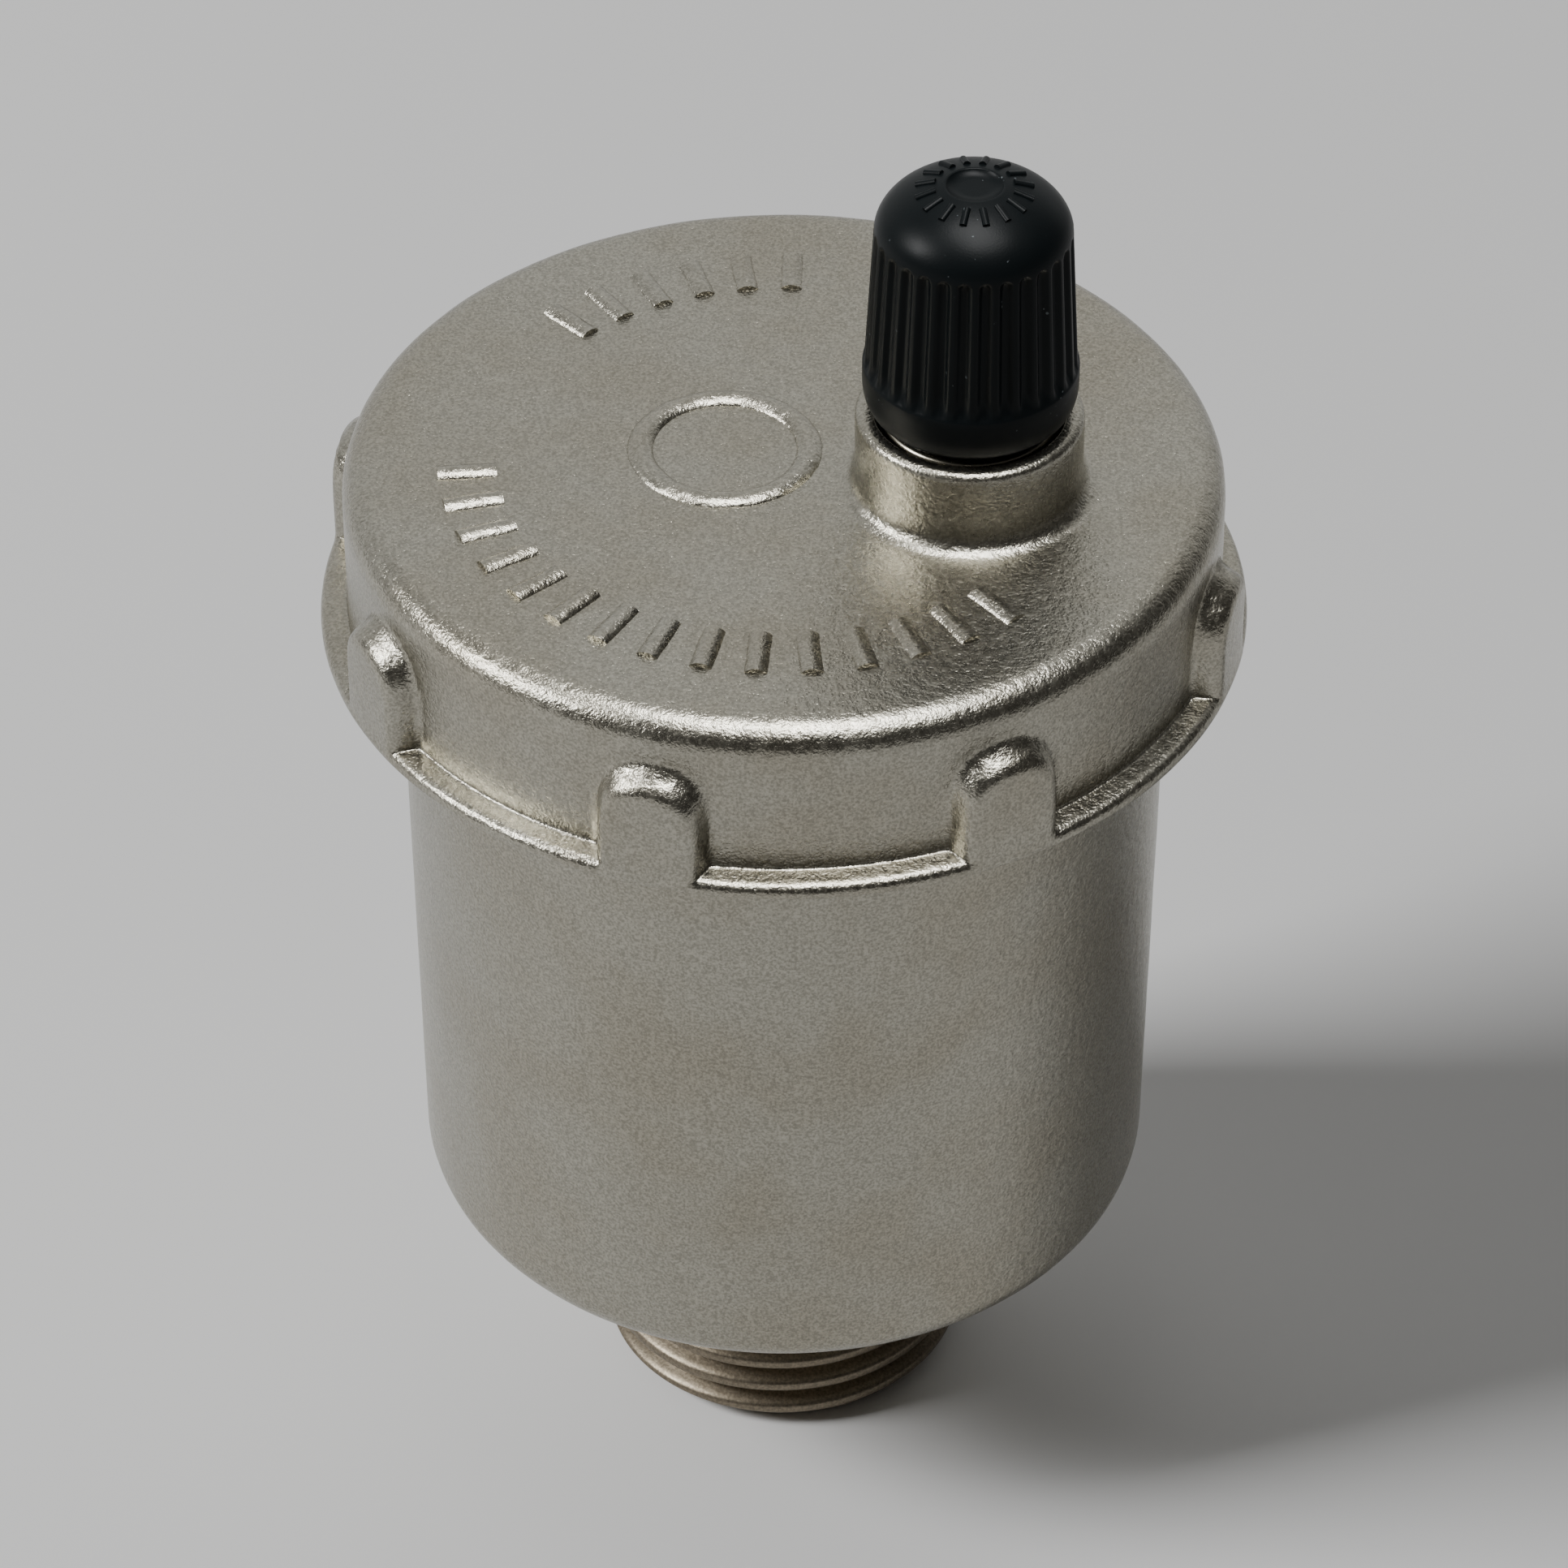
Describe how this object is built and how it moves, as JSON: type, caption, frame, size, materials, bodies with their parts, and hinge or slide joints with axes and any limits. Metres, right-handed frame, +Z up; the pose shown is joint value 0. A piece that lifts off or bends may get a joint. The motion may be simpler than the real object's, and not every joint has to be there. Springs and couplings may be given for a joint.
{
  "type": "automatic air vent",
  "caption": "Float-operated automatic air vent: hollow plated brass body with a male pipe thread, lugged screw-on cover, offset vent nozzle and ribbed dust cap.",
  "frame": {"origin": "centre of the spigot's lower end face, on the body's axis", "axes": "+Z up the body's axis, +X from the body's axis to the nozzle's axis"},
  "size_m": [0.051, 0.051, 0.0832],
  "materials": {
    "plated_forging": "shot-blasted, nickel-plated",
    "turned_brass": "turned, nickel-plated",
    "stainless": "pressed, bright",
    "seal_rubber": "moulded, matt",
    "float_plastic": "moulded, natural",
    "cap_plastic": "moulded, satin"
  },
  "bodies": {
    "housing": {"body": "plated_forging", "cover": "plated_forging", "cover_o_ring": "seal_rubber", "nozzle_gasket": "seal_rubber", "vent_nozzle": "turned_brass", "nozzle_nut": "turned_brass", "lever_bracket": "stainless", "lever_pin": "stainless", "pin_clip": "stainless", "float_guide_pin": "turned_brass", "valve_spring": "stainless"},
    "float": {"float_shell": "float_plastic", "float_lid": "float_plastic"},
    "lever": {"lever": "stainless"},
    "valve": {"valve_stem": "turned_brass", "valve_seal": "seal_rubber"},
    "cap_lift": {"cap_washer": "seal_rubber"},
    "cap": {"cap": "cap_plastic"}
  },
  "joints": [
    {"name": "float_rise", "type": "slide", "parent": "housing", "child": "float", "axis": [0, 0, 1], "range_m": [0, 0.003]},
    {"name": "lever_swing", "type": "hinge", "parent": "housing", "child": "lever", "pos_m": [0.01389, 0, 0.053], "axis": [0, 1, 0], "range_deg": [0, 12.5]},
    {"name": "valve_lift", "type": "slide", "parent": "housing", "child": "valve", "axis": [0, 0, 1], "range_m": [0, 0.0008], "deforming": ["valve_spring"]},
    {"name": "cap_rise", "type": "slide", "parent": "housing", "child": "cap_lift", "axis": [0, 0, 1], "range_m": [0, 0.00635]},
    {"name": "cap_turn", "type": "hinge", "parent": "cap_lift", "child": "cap", "pos_m": [0.01019, 0, 0.07], "axis": [0, 0, 1], "range_deg": [0, 2880]}
  ],
  "couplings": [
    {"joint": "lever_swing", "follows": "float_rise", "rad_per_m": 72.566},
    {"joint": "valve_lift", "follows": "float_rise", "ratio": 0.26638},
    {"joint": "cap_turn", "follows": "cap_rise", "rad_per_m": 7915.6}
  ]
}
